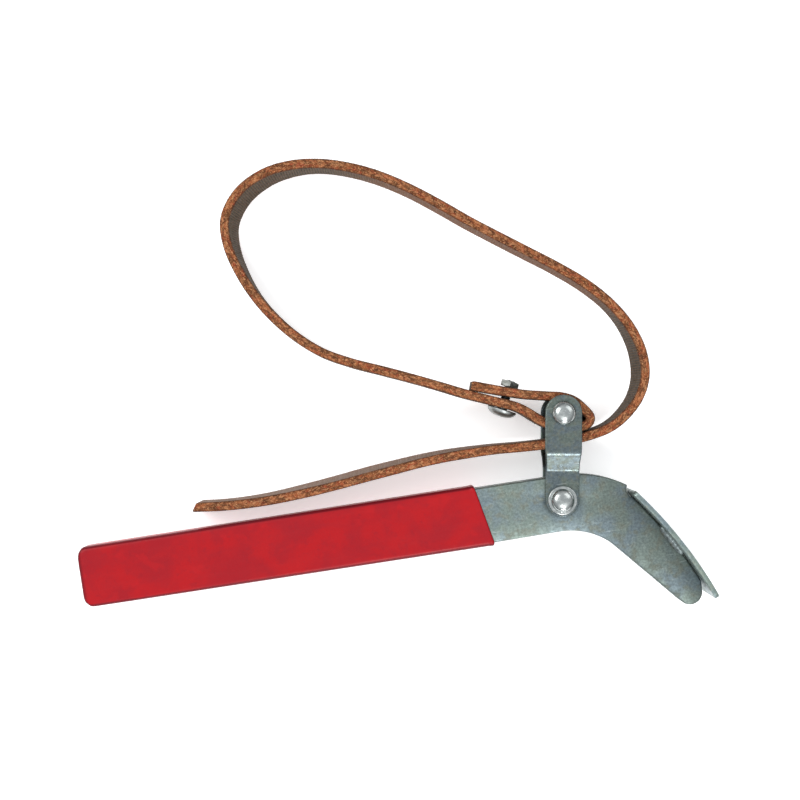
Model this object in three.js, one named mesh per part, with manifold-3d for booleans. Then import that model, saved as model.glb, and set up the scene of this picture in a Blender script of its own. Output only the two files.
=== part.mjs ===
// Strap wrench lying on its side, in millimetres, +Z up.
// The rivet axes run along Z. While it is drawn, the origin is on the lever rivet's axis at mid width,
// +X points along the lever from the grip to the jaw and +Y from the lever to the strap pin.
// The last lines move the whole wrench so that its origin is the middle of its base.
import * as THREE from "three";
import { mergeVertices } from "three/addons/utils/BufferGeometryUtils.js";
import Module from "manifold-3d";

const wasm = await Module();
wasm.setup();

const DEGREE = Math.PI / 180;
const GAP = 0.3; // clearance between two pieces that touch on the real wrench

// Pressed channel lever
const SHEET = 2; // thickness of the channel's steel and of the link plates
const LEVER_HALF_WIDTH = 6;
const HANDLE_END_X = -192.9;
const HANDLE_END_TOP = 10.3;
const HANDLE_END_BOTTOM = -12.4;
const HANDLE_CORNER = 3;
const GRIP_LINE_X = -34; // where the grip ends on the upper edge
const HANDLE_TOP = 10.1;
const HANDLE_BOTTOM = -12.75;
const TOP_BEND = { x: 1.5, top: 9.75, radius: 45 };
const BOTTOM_BEND = { x: -2.3, bottom: -12.45, radius: 28 };
const HEAD_ANGLE = 48.9 * DEGREE; // how far the head bends down from the handle
const HEAD_STRAIGHT = 34.2;
const TIP_RADIUS = 5;
const NOSE_X = 26.8;
const NOTCH = [
  [26.1, -0.5],
  [27.3, -2.9],
];
const CHANNEL_BEVEL = 0.8;

// Grip: a dipped skin over the handle
const SKIN = 0.45;
const SKIN_GAP = 0.25;
const END_SKIN = 1.4; // how much thicker the vinyl is over the far end
const GRIP_EDGE_TOP_X = GRIP_LINE_X;
const GRIP_EDGE_BOTTOM_X = -29.4; // the dip line slants

// Jaw shoe: a curved plate welded across the two cheeks of the head
const JAW = { x: -112, y: -111, seat: 176.8 }; // centre and radius of the cheeks' seat for the shoe
const SEAT_FROM = 37.6 * DEGREE;
const SEAT_TO = 23.4 * DEGREE;
const SHOE_THICKNESS = 2;
const SHOE_HALF_WIDTH = 15.5; // as wide as the link plates are apart
const SHOE_FROM = 38.2 * DEGREE;
const SHOE_TO = 21 * DEGREE;
const SHOE_BEVEL = 0.5;
const WELD = { from: 32.2 * DEGREE, to: 27.8 * DEGREE, leg: 2.4, bevel: 0.8 };

// Rivets, tubes and washers
const SHANK_RADIUS = 2.5;
const HOLE_RADIUS = SHANK_RADIUS + GAP;
const TUBE_RADIUS = 4;
const LEVER_HEAD = { radius: 4.7, height: 2.7 };
const PIN_HEAD = { radius: 4.8, height: 3 };
const WASHER = { radius: 5.8, thickness: 0.8 };

// Cranked link plates
const PIN = { x: 5.6, y: 34.5 }; // axis of the strap pin
const LINK_TOP_HALF = 7.3;
const LINK_LOWER_HALF = 6.75;
const CRANK_FROM = 12.1; // distance from the lever rivet where the plate starts to step outwards
const CRANK_TO = 18.3;
const CRANK_CORNER = 0.6; // keeps the plate as thick on its slope as on its flats
const WIDENS = { from: 16.3, to: 19.3 }; // where the plate grows from its lower to its upper width

// Strap
const STRAP_THICKNESS = 3.6;
const STRAP_HALF_WIDTH = 10;
const STRAP_STEP = 1.6; // about the length of one facet
const NOSE_CLEARANCE = GAP + STRAP_THICKNESS / 2;
const SAG = { from: 15, to: 120, depth: 5.8 }; // the strap sinks to the table away from the pin
const LEAN = { x: -80, y: 118, reach: -60, from: 80 * DEGREE, to: 222 * DEGREE, depth: 2.5 };
const LINK_INNER = STRAP_HALF_WIDTH + 2 * GAP;

// Strap screw, through both plies of the eye
const SCREW = { x: -15.6, y: 44.1, angle: 64 * DEGREE, radius: 2 };
const SCREW_HEAD = { radius: 6, height: 3, at: -5.5 };
const NUT = { across_flats: 7, thickness: 2.2, at: 4.65 };
const SCREW_END = 0.3; // how far the screw stands out of the nut

// The strap's centre line, from the cut end over the pin, round the loop and out as the free end.
const ROUTE = [
  [-28.9, 51.0], [-19.0, 47.6], [-8.3, 44.2], [0.5, 42.2], [6.2, 40.9], [10.5, 38.7],
  [14.0, 34.8], [16.0, 31.2], [15.0, 29.0], [12.2, 28.1], [7.5, 28.1], [2.8, 28.9],
  [-3.2, 32.2], [-11.9, 38.8], [-22.4, 43.6], [-33.0, 48.6], [-40.9, 52.4], [-52.2, 57.6],
  [-63.6, 62.6], [-75.2, 67.6], [-86.5, 73.8], [-97.0, 83.0], [-106.0, 94.6], [-113.0, 108.2],
  [-117.0, 122.0], [-116.4, 132.8], [-109.6, 142.4], [-98.5, 148.3], [-86.5, 149.9],
  [-74.5, 148.6], [-63.2, 145.2], [-52.3, 140.2], [-41.6, 133.6], [-30.9, 125.6],
  [-20.0, 116.8], [-9.1, 108.6], [1.8, 100.6], [12.6, 92.6], [23.0, 83.8], [31.6, 74.2],
  [37.6, 64.0], [40.6, 54.0], [40.4, 44.4], [36.8, 36.4], [30.4, 30.0], [23.4, 26.0],
  [14.5, 24.0], [6.0, 23.3], [-4.3, 23.2], [-13.5, 23.6], [-23.6, 24.2], [-33.6, 24.3],
  [-43.8, 24.1], [-54.0, 23.4], [-64.3, 22.3], [-74.6, 21.2], [-84.9, 20.0], [-95.2, 19.0],
  [-105.4, 18.3], [-115.6, 17.9], [-125.7, 18.0], [-135.8, 18.6], [-146.5, 19.8],
];
// Each section of the strap, with the route point that it starts at. The strap flexes between them.
const SECTIONS = [
  ["strap_eye", 0],
  ["strap_loop_1", 16],
  ["strap_loop_2", 22],
  ["strap_loop_3", 29],
  ["strap_loop_4", 36],
  ["strap_loop_5", 40],
  ["strap_throat", 45],
  ["strap_tail_root", 50],
  ["strap_tail", 52],
];

const finishes = {
  zinc: { color: 0x8f9a93, roughness: 0.42, metalness: 0.9 },
  bright_steel: { color: 0xc9ccca, roughness: 0.25, metalness: 0.95 },
  dark_steel: { color: 0x6d706c, roughness: 0.45, metalness: 0.9 },
  red_vinyl: { color: 0xa8242e, roughness: 0.35, metalness: 0 },
  webbing: { color: 0x8c583a, roughness: 0.85, metalness: 0 },
};

function toSolid(geometry) {
  const bare = geometry.clone();
  bare.deleteAttribute("normal");
  bare.deleteAttribute("uv");
  const merged = mergeVertices(bare, 1e-4);
  return new wasm.Manifold(
    new wasm.Mesh({
      numProp: 3,
      vertProperties: merged.attributes.position.array,
      triVerts: new Uint32Array(merged.index.array),
    }),
  );
}

function toGeometry(solid) {
  const { vertProperties, triVerts } = solid.getMesh();
  const geometry = new THREE.BufferGeometry();
  geometry.setAttribute("position", new THREE.BufferAttribute(vertProperties, 3));
  geometry.setIndex(new THREE.BufferAttribute(triVerts, 1));
  return geometry;
}

// The first geometry without the others.
function cut(geometry, ...tools) {
  return toGeometry(tools.reduce((solid, tool) => solid.subtract(toSolid(tool)), toSolid(geometry)));
}

function common(a, b) {
  return toGeometry(toSolid(a).intersect(toSolid(b)));
}

// A flat outline made thick along Z, from low to high, with its edges eased by bevel.
function slab(outline, low, high, bevel = 0) {
  return new THREE.ExtrudeGeometry(outline, {
    depth: high - low - 2 * bevel,
    curveSegments: 16,
    bevelEnabled: bevel > 0,
    bevelThickness: bevel,
    bevelSize: bevel,
    bevelOffset: -bevel,
    bevelSegments: 3,
  }).translate(0, 0, low + bevel);
}

function polygon(points) {
  return new THREE.Shape(points.map(([x, y]) => new THREE.Vector2(x, y)));
}

// Points on an arc from one angle to the other.
function arc(x, y, radius, from, to, steps) {
  return Array.from({ length: steps + 1 }, (_, i) => {
    const angle = from + ((to - from) * i) / steps;
    return [x + radius * Math.cos(angle), y + radius * Math.sin(angle)];
  });
}

// A solid turned about Z. The profile lists radius and height, from the lowest point upwards.
function turned(profile, segments = 32) {
  const points = profile.map(([r, z]) => new THREE.Vector2(r, z));
  return new THREE.LatheGeometry(points, segments).rotateX(Math.PI / 2);
}

function rod(radius, low, high) {
  return turned([[0, low], [radius, low], [radius, high], [0, high]]);
}

function tube(outer, inner, low, high) {
  return turned([[inner, low], [outer, low], [outer, high], [inner, high], [inner, low]]);
}

// Heights along Z of what the two rivets hold together.
const plateLow = LEVER_HALF_WIDTH + GAP;
const washerLow = plateLow + SHEET + GAP;
const leverHeadLow = washerLow + WASHER.thickness + GAP;
const plateHigh = LINK_INNER;
const pinHeadLow = plateHigh + SHEET + GAP;

// The two rounded corners at the far end of the handle, grown outwards, and further along the handle.
function farCorners(growth, further = 0) {
  const radius = HANDLE_CORNER + growth;
  const x = HANDLE_END_X - further + HANDLE_CORNER;
  return [
    ...arc(x, HANDLE_END_BOTTOM + HANDLE_CORNER, radius, 1.5 * Math.PI, Math.PI, 6),
    ...arc(x, HANDLE_END_TOP - HANDLE_CORNER, radius, Math.PI, Math.PI / 2, 6),
  ];
}

// The channel's outside, from the far end of the handle over the top to the jaw and back underneath.
function leverOutline() {
  const topCentre = TOP_BEND.top - TOP_BEND.radius;
  const noseAngle = Math.acos((NOSE_X - TOP_BEND.x) / TOP_BEND.radius);
  const bottomCentre = BOTTOM_BEND.bottom - BOTTOM_BEND.radius;
  const bendEnd = Math.PI / 2 - HEAD_ANGLE;
  const [headX, headY] = arc(BOTTOM_BEND.x, bottomCentre, BOTTOM_BEND.radius, bendEnd, bendEnd, 1)[0];
  const along = [Math.cos(HEAD_ANGLE), -Math.sin(HEAD_ANGLE)];
  const outward = [Math.sin(HEAD_ANGLE), Math.cos(HEAD_ANGLE)];
  const tipX = headX + HEAD_STRAIGHT * along[0] + TIP_RADIUS * outward[0];
  const tipY = headY + HEAD_STRAIGHT * along[1] + TIP_RADIUS * outward[1];
  return [
    ...farCorners(0),
    [GRIP_LINE_X, HANDLE_TOP],
    ...arc(TOP_BEND.x, topCentre, TOP_BEND.radius, Math.PI / 2, noseAngle, 10),
    ...NOTCH,
    ...arc(JAW.x, JAW.y, JAW.seat, SEAT_FROM, SEAT_TO, 10),
    ...arc(tipX, tipY, TIP_RADIUS, 0, bendEnd - Math.PI, 10),
    ...arc(BOTTOM_BEND.x, bottomCentre, BOTTOM_BEND.radius, bendEnd, Math.PI / 2, 12),
    [GRIP_LINE_X, HANDLE_BOTTOM],
  ];
}

// The space inside the channel: below the web, and everything beyond the web's end.
function channelInside(wall) {
  const radius = TOP_BEND.radius - wall;
  const topCentre = TOP_BEND.top - TOP_BEND.radius;
  const webEnd = Math.acos((NOTCH[0][0] - TOP_BEND.x) / radius);
  const beyond = 100;
  const below = -80;
  return [
    [HANDLE_END_X - 10, HANDLE_END_TOP - wall],
    [GRIP_LINE_X, HANDLE_TOP - wall],
    ...arc(TOP_BEND.x, topCentre, radius, Math.PI / 2, webEnd, 10),
    [beyond, topCentre + radius * Math.sin(webEnd)],
    [beyond, below],
    [HANDLE_END_X - 10, below],
  ];
}

function leverChannel() {
  const cavity = LEVER_HALF_WIDTH - SHEET;
  return cut(
    slab(polygon(leverOutline()), -LEVER_HALF_WIDTH, LEVER_HALF_WIDTH, CHANNEL_BEVEL),
    slab(polygon(channelInside(SHEET)), -cavity, cavity),
    rod(HOLE_RADIUS, -2 * LEVER_HALF_WIDTH, 2 * LEVER_HALF_WIDTH),
  );
}

// A bar that follows the handle, grown on every side, up to two places on its upper and lower edge.
function handleBar(growth, rightTop, rightBottom, further = 0) {
  const length = GRIP_LINE_X - HANDLE_END_X;
  const rise = (HANDLE_TOP - HANDLE_END_TOP) / length;
  const fall = (HANDLE_BOTTOM - HANDLE_END_BOTTOM) / length;
  return [
    ...farCorners(growth, further),
    [rightTop, HANDLE_END_TOP + growth + rise * (rightTop - HANDLE_END_X)],
    [rightBottom, HANDLE_END_BOTTOM - growth + fall * (rightBottom - HANDLE_END_X)],
  ];
}

function gripCoating() {
  const outer = SKIN + SKIN_GAP;
  const beyond = 10;
  const inside = LEVER_HALF_WIDTH - SHEET;
  const skin = slab(
    polygon(handleBar(outer, GRIP_EDGE_TOP_X, GRIP_EDGE_BOTTOM_X, END_SKIN)),
    -LEVER_HALF_WIDTH - outer,
    LEVER_HALF_WIDTH + outer,
    CHANNEL_BEVEL,
  );
  const channel = cut(
    slab(
      polygon(handleBar(SKIN_GAP, beyond, beyond)),
      -LEVER_HALF_WIDTH - SKIN_GAP,
      LEVER_HALF_WIDTH + SKIN_GAP,
    ),
    slab(polygon(channelInside(SHEET + SKIN_GAP)), -inside + SKIN_GAP, inside - SKIN_GAP),
  );
  const hollow = slab(polygon(channelInside(SHEET + outer)), -inside + outer, inside - outer);
  return cut(skin, channel, hollow);
}

function jawSector(inner, outer, from, to) {
  return polygon([
    ...arc(JAW.x, JAW.y, outer, from, to, 16),
    ...arc(JAW.x, JAW.y, inner, to, from, 16),
  ]);
}

function jawShoe() {
  const inner = JAW.seat + GAP;
  const outline = jawSector(inner, inner + SHOE_THICKNESS, SHOE_FROM, SHOE_TO);
  return slab(outline, -SHOE_HALF_WIDTH, SHOE_HALF_WIDTH, SHOE_BEVEL);
}

// One weld bead, in the corner between a cheek and the shoe. side is 1 in front and -1 behind.
function weldBead(side) {
  const outline = jawSector(JAW.seat - WELD.leg, JAW.seat, WELD.from, WELD.to);
  const low = LEVER_HALF_WIDTH + GAP;
  const bead = slab(outline, low, low + WELD.leg, WELD.bevel);
  return side > 0 ? bead : bead.translate(0, 0, -2 * low - WELD.leg);
}

// A rivet with a domed head at each end. The heads' undersides are at -low and low.
function rivet(head, low) {
  const dome = (side) =>
    arc(0, 0, 1, 0, Math.PI / 2, 6).map(([r, h]) => [head.radius * r, side * (low + head.height * h)]);
  const profile = [
    ...dome(-1).reverse(),
    [SHANK_RADIUS, -low],
    [SHANK_RADIUS, low],
    ...dome(1),
  ];
  profile[0][0] = 0;
  profile[profile.length - 1][0] = 0;
  return turned(profile);
}

// Moves a piece that was drawn on the lever rivet's axis to the strap pin.
function atPin(geometry) {
  return geometry.translate(PIN.x, PIN.y, 0);
}

// A link plate in front of the lever, drawn upright, then leaned over to reach the strap pin.
function linkPlate() {
  const reach = Math.hypot(PIN.x, PIN.y);
  const face = polygon([
    ...arc(0, 0, LINK_LOWER_HALF, -Math.PI, 0, 16),
    [LINK_LOWER_HALF, WIDENS.from],
    [LINK_TOP_HALF, WIDENS.to],
    ...arc(0, reach, LINK_TOP_HALF, 0, Math.PI, 16),
    [-LINK_TOP_HALF, WIDENS.to],
    [-LINK_LOWER_HALF, WIDENS.from],
  ]);
  const side = polygon([
    [-2 * LINK_TOP_HALF, plateLow],
    [CRANK_FROM + CRANK_CORNER, plateLow],
    [CRANK_TO + CRANK_CORNER, plateHigh],
    [2 * reach, plateHigh],
    [2 * reach, plateHigh + SHEET],
    [CRANK_TO, plateHigh + SHEET],
    [CRANK_FROM, plateLow + SHEET],
    [-2 * LINK_TOP_HALF, plateLow + SHEET],
  ]);
  const sideToWorld = new THREE.Matrix4().makeBasis(
    new THREE.Vector3(0, 1, 0),
    new THREE.Vector3(0, 0, 1),
    new THREE.Vector3(1, 0, 0),
  );
  const bent = slab(side, -2 * LINK_TOP_HALF, 2 * LINK_TOP_HALF).applyMatrix4(sideToWorld);
  const flat = slab(face, 0, 2 * plateHigh);
  const hole = rod(HOLE_RADIUS, 0, 2 * plateHigh);
  const plate = cut(common(bent, flat), hole, hole.clone().translate(0, reach, 0));
  return plate.rotateZ(-Math.atan2(PIN.x, PIN.y));
}

// The rear plate is the front one turned over about the line between the two rivets.
function turnedOver(geometry) {
  const axis = new THREE.Vector3(PIN.x, PIN.y, 0).normalize();
  return geometry.applyMatrix4(new THREE.Matrix4().makeRotationAxis(axis, Math.PI));
}

const route = new THREE.CatmullRomCurve3(ROUTE.map(([x, y]) => new THREE.Vector3(x, y, 0)));

// Centre and sideways direction of the strap at a place along the route, counted in route points.
function strapAt(place) {
  const t = place / (ROUTE.length - 1);
  const centre = route.getPoint(t);
  const along = route.getTangent(t);
  return { centre, side: new THREE.Vector3(-along.y, along.x, 0), along };
}

// How many route points a distance is, measured from a given route point onwards.
function pointsFor(distance, index) {
  const [a, b] = [ROUTE[index], ROUTE[index + 1]];
  return distance / Math.hypot(b[0] - a[0], b[1] - a[1]);
}

// Outline of one strap section. It ends in a round nose about the flexing line at its last point,
// and starts clear of the nose of the section before it.
function strapOutline(first, last) {
  const half = STRAP_THICKNESS / 2;
  const start = first === 0 ? 0 : first + pointsFor(NOSE_CLEARANCE, first);
  const places = [start];
  for (let i = Math.floor(start); i < last; i++) {
    const [a, b] = [ROUTE[i], ROUTE[i + 1]];
    const steps = Math.max(2, Math.round(Math.hypot(b[0] - a[0], b[1] - a[1]) / STRAP_STEP));
    for (let k = 1; k <= steps; k++) {
      if (i + k / steps > start + 0.05) places.push(i + k / steps);
    }
  }
  const left = [];
  const right = [];
  for (const place of places) {
    const { centre, side } = strapAt(place);
    left.push([centre.x + half * side.x, centre.y + half * side.y]);
    right.push([centre.x - half * side.x, centre.y - half * side.y]);
  }
  const nose = [];
  if (last < ROUTE.length - 1) {
    const { centre, side } = strapAt(last);
    const from = Math.atan2(side.y, side.x);
    nose.push(...arc(centre.x, centre.y, half, from, from - Math.PI, 8).slice(1, -1));
  }
  return polygon([...left, ...nose, ...right.reverse()]);
}

const smooth = (t) => t * t * (3 - 2 * t);
const between = (value, from, to) => THREE.MathUtils.clamp((value - from) / (to - from), 0, 1);

// Lets the strap down to the table away from the pin, and leans its lower edge into the far bend.
function settle(geometry) {
  const position = geometry.attributes.position;
  for (let i = 0; i < position.count; i++) {
    const [x, y, z] = [position.getX(i), position.getY(i), position.getZ(i)];
    const sag = SAG.depth * smooth(between(Math.hypot(x - PIN.x, y - PIN.y), SAG.from, SAG.to));
    const angle = (Math.atan2(y - LEAN.y, x - LEAN.x) + 2 * Math.PI) % (2 * Math.PI);
    const share = Math.sin(Math.PI * between(angle, LEAN.from, LEAN.to)) ** 2;
    const inset = (x < LEAN.reach ? 1 : 0) * LEAN.depth * share * (0.5 - z / (2 * STRAP_HALF_WIDTH));
    position.setXYZ(i, x - inset * Math.cos(angle), y - inset * Math.sin(angle), z - sag);
  }
  return geometry;
}

function strapSection(first, last) {
  return settle(slab(strapOutline(first, last), -STRAP_HALF_WIDTH, STRAP_HALF_WIDTH));
}

// Puts a piece that was drawn along Z onto the strap screw's axis, its +Z towards the nut.
function onScrew(geometry) {
  return geometry
    .rotateX(-Math.PI / 2)
    .rotateZ(SCREW.angle - Math.PI / 2)
    .translate(SCREW.x, SCREW.y, 0);
}

function strapScrew() {
  const top = NUT.at + NUT.thickness + SCREW_END;
  const dome = arc(0, 0, 1, -Math.PI / 2, 0, 6).map(([r, h]) => [
    SCREW_HEAD.radius * r,
    SCREW_HEAD.at + SCREW_HEAD.height * h,
  ]);
  dome[0][0] = 0;
  return onScrew(
    turned([...dome, [SCREW.radius, SCREW_HEAD.at], [SCREW.radius, top], [0, top]]),
  );
}

function strapNut() {
  const corner = NUT.across_flats / Math.sqrt(3);
  const outline = polygon(arc(0, 0, corner, 0, (5 / 3) * Math.PI, 5));
  const body = slab(outline, NUT.at, NUT.at + NUT.thickness);
  return onScrew(cut(body, rod(SCREW.radius + GAP, 0, 2 * NUT.at + NUT.thickness)));
}

const wrench = new THREE.Group();

function add(name, geometry, finish) {
  const mesh = new THREE.Mesh(geometry, new THREE.MeshStandardMaterial(finishes[finish]));
  mesh.name = name;
  wrench.add(mesh);
}

const washerHigh = washerLow + WASHER.thickness;
const leverTubeHalf = LEVER_HALF_WIDTH - SHEET - GAP;
const pinTubeHalf = plateHigh - GAP;
const screwHole = onScrew(rod(SCREW.radius + GAP, SCREW_HEAD.at, NUT.at + NUT.thickness));

add("lever_channel", leverChannel(), "zinc");
add("grip_coating", gripCoating(), "red_vinyl");
add("jaw_shoe", jawShoe(), "zinc");
add("shoe_weld_front", weldBead(1), "dark_steel");
add("shoe_weld_rear", weldBead(-1), "dark_steel");
add("lever_rivet", rivet(LEVER_HEAD, leverHeadLow), "bright_steel");
add("lever_spacer", tube(TUBE_RADIUS, HOLE_RADIUS, -leverTubeHalf, leverTubeHalf), "dark_steel");
add("lever_washer_front", tube(WASHER.radius, HOLE_RADIUS, washerLow, washerHigh), "bright_steel");
add("lever_washer_rear", tube(WASHER.radius, HOLE_RADIUS, -washerHigh, -washerLow), "bright_steel");
add("link_front", linkPlate(), "zinc");
add("link_rear", turnedOver(linkPlate()), "zinc");
add("strap_pin", atPin(rivet(PIN_HEAD, pinHeadLow)), "bright_steel");
add("strap_pin_spacer", atPin(tube(TUBE_RADIUS, HOLE_RADIUS, -pinTubeHalf, pinTubeHalf)), "dark_steel");
add("strap_screw", strapScrew(), "bright_steel");
add("strap_nut", strapNut(), "dark_steel");
SECTIONS.forEach(([name, first], i) => {
  const last = i + 1 < SECTIONS.length ? SECTIONS[i + 1][1] : ROUTE.length - 1;
  const section = strapSection(first, last);
  add(name, name === "strap_eye" ? cut(section, screwHole) : section, "webbing");
});

const box = new THREE.Box3().setFromObject(wrench);
const middle = box.getCenter(new THREE.Vector3());
wrench.position.set(-middle.x, -middle.y, -box.min.z);

export default wrench;
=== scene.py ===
# %% [markdown]
# # Looks for a strap wrench
#
# The imported part is a lever strap wrench: a pressed steel channel with a red dipped handle, a curved jaw
# shoe, two cranked link plates and a long woven strap. This lesson builds the visible wrench around that
# part. Each piece gets its own shape and its own procedural finish. The rigid pieces and the strap's first
# piece move with a body of the part; the other strap pieces stay where they are built.
#
# Shapes are drawn in millimetres from the lever rivet's axis at mid width, with +X along the lever to
# the jaw, +Y from the lever to the strap pin and +Z along the rivets.

import math

import bmesh
import bpy
import numpy as np
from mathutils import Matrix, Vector
from mathutils.kdtree import KDTree


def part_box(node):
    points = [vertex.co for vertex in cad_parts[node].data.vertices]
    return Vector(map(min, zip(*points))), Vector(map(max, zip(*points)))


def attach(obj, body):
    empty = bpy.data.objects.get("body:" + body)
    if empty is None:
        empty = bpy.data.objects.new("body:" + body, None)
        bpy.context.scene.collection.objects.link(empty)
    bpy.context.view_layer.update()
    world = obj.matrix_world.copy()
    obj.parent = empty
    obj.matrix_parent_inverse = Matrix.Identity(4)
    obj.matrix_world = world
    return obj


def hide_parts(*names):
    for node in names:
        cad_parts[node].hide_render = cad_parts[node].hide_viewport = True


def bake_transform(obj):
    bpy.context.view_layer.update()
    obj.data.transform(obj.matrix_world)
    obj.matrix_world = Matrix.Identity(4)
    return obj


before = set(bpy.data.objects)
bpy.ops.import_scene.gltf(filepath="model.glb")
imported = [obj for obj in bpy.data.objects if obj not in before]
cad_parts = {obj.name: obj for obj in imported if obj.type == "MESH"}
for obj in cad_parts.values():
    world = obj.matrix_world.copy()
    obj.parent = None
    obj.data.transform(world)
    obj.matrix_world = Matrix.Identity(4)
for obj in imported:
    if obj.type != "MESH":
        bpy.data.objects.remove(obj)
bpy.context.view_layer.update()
MM = 0.001


def middle_of(node):
    """The middle of a CAD node's box, in metres."""
    corner_a, corner_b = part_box(node)
    return (np.array(corner_a) + np.array(corner_b)) / 2


ORIGIN = middle_of("lever_rivet")
PIN = (middle_of("strap_pin") - ORIGIN) / MM
print("lever rivet at", ORIGIN.round(4), "strap pin at", PIN.round(2), "mm from it")

# %% [markdown]
# ## Making a closed piece from a grid of points
#
# Almost every piece here is a ring of points carried along a path, or a profile turned about an axis.
# Both give a grid: rows along the piece, columns round it. A sculpted mesh could look as good, but a
# formula keeps exact sizes and is easy to change.

# %% Helpers for grids and profiles
SMOOTH_UNDER = math.radians(42)


def build(name, points, faces, material, coords=None):
    """A mesh object from points in millimetres, with its faces turned outward.

    coords are optional coordinates for the finish, kept on each vertex as the attribute "along".
    """
    mesh = bpy.data.meshes.new(name)
    mesh.from_pydata(ORIGIN + np.asarray(points) * MM, [], faces)
    shape = bmesh.new()
    shape.from_mesh(mesh)
    if shape.calc_volume(signed=True) < 0:
        bmesh.ops.reverse_faces(shape, faces=shape.faces)
    shape.to_mesh(mesh)
    shape.free()
    if coords is not None:
        attribute = mesh.attributes.new("along", "FLOAT_VECTOR", "POINT")
        attribute.data.foreach_set("vector", np.asarray(coords, np.float32).ravel())
    mesh.shade_smooth()
    mesh.set_sharp_from_angle(angle=SMOOTH_UNDER)
    mesh.materials.append(material)
    piece = bpy.data.objects.new(name, mesh)
    bpy.context.scene.collection.objects.link(piece)
    return piece


def grid_faces(rows, columns, ends):
    """Quads of a grid whose columns join up. Its ends are closed by a "fan" each, joined up as a "loop",
    or left "open" for a piece that is zipped together afterwards."""
    i, j = np.meshgrid(np.arange(rows if ends == "loop" else rows - 1), np.arange(columns), indexing="ij")
    after, beside = (i + 1) % rows, (j + 1) % columns
    corners = [i * columns + j, i * columns + beside, after * columns + beside, after * columns + j]
    faces = np.stack(corners, -1).reshape(-1, 4).tolist()
    if ends != "fan":
        return faces
    ring = np.arange(columns)
    first, last = rows * columns, rows * columns + 1
    start = np.stack([np.full(columns, first), (ring + 1) % columns, ring], -1)
    base = (rows - 1) * columns
    end = np.stack([np.full(columns, last), base + ring, base + (ring + 1) % columns], -1)
    return faces + start.tolist() + end.tolist()


def surface(name, grid, material, ends="fan", coords=None):
    """A piece from grid[row, column], each row being a ring round the piece."""
    rows, columns = grid.shape[:2]
    points = grid.reshape(-1, 3)
    if coords is not None:
        coords = np.vstack([coords.reshape(-1, 3), coords[[0, -1]].mean(axis=1)])
    if ends == "fan":
        points = np.vstack([points, grid[[0, -1]].mean(axis=1)])
    return build(name, points, grid_faces(rows, columns, ends), material, coords)


def unit(vectors):
    """The same directions with length 1."""
    return vectors / np.maximum(np.linalg.norm(vectors, axis=-1, keepdims=True), 1e-9)


def stand_in(piece, body, node):
    """Makes a rigid piece ride on a body of the part, in place of one of its nodes."""
    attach(piece, body)
    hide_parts(node)


def rounded(corners, radius, steps, closed=True):
    """A polygon with each corner replaced by an arc of the radius that is tangent to both of its sides.
    An open line keeps its two end points."""
    p = np.asarray(corners, float)
    to_last, to_next = unit(np.roll(p, 1, 0) - p), unit(np.roll(p, -1, 0) - p)
    half = np.arccos(np.clip((to_last * to_next).sum(1), -1, 1))[:, None, None] / 2
    centre = p[:, None] + unit(to_last + to_next)[:, None] * radius / np.sin(half)
    a = p[:, None] + to_last[:, None] * radius / np.tan(half) - centre
    b = p[:, None] + to_next[:, None] * radius / np.tan(half) - centre
    turn = np.pi - 2 * half
    k = np.linspace(0, 1, steps + 1)[None, :, None]
    arcs = centre + (np.sin((1 - k) * turn) * a + np.sin(k * turn) * b) / np.sin(turn)
    if closed:
        return arcs.reshape(-1, 2)
    return np.vstack([p[:1], arcs[1:-1].reshape(-1, 2), p[-1:]])


def divided(points, gap):
    """The same closed outline with extra points, so that none are further apart than gap."""
    return np.vstack([
        np.linspace(a, b, max(1, math.ceil(np.linalg.norm(b - a) / gap)), endpoint=False)
        for a, b in zip(points, np.roll(points, -1, 0))
    ])


def turned_grid(profile, segments=96):
    """Turns a profile of (radius, height) about Z: x = radius cos(angle), y = radius sin(angle)."""
    angle = np.linspace(0, 2 * np.pi, segments, endpoint=False)
    radius, height = profile[:, :1], profile[:, 1:]
    return np.stack([radius * np.cos(angle), radius * np.sin(angle), height + 0 * angle], -1)


def smooth(t):
    """A soft step from 0 to 1 as t goes from 0 to 1: 3 t squared less 2 t cubed."""
    t = np.clip(t, 0, 1)
    return t * t * (3 - 2 * t)


def ripple(*axes, seed, sizes, waves=7):
    """Gentle unevenness from -1 to 1: a sum of sine waves whose directions, lengths and phases are
    drawn from a seeded generator. axes are coordinates in millimetres."""
    rng = np.random.default_rng(seed)
    total = 0
    for _ in range(waves):
        direction = unit(rng.normal(size=len(axes)))
        length = rng.uniform(*sizes)
        phase = sum(d * a for d, a in zip(direction, axes)) * 2 * np.pi / length
        total = total + np.sin(phase + rng.uniform(0, 2 * np.pi))
    return total / waves


# %% [markdown]
# ## Small language for finishes
#
# Each finish is a tree of shader nodes. Noise at several sizes gives what a flat colour can't: blotches,
# scratches, dirt and wear. Image textures would be quicker but can't be resized or reused freely.

# %% Helpers for shader nodes
def srgb(r, g, b):
    """A colour given in display values from 0 to 255, as the linear values that shaders take."""
    c = np.array([r, g, b]) / 255
    linear = np.where(c <= 0.04045, c / 12.92, ((c + 0.055) / 1.055) ** 2.4)
    return (*map(float, linear), 1.0)


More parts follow.
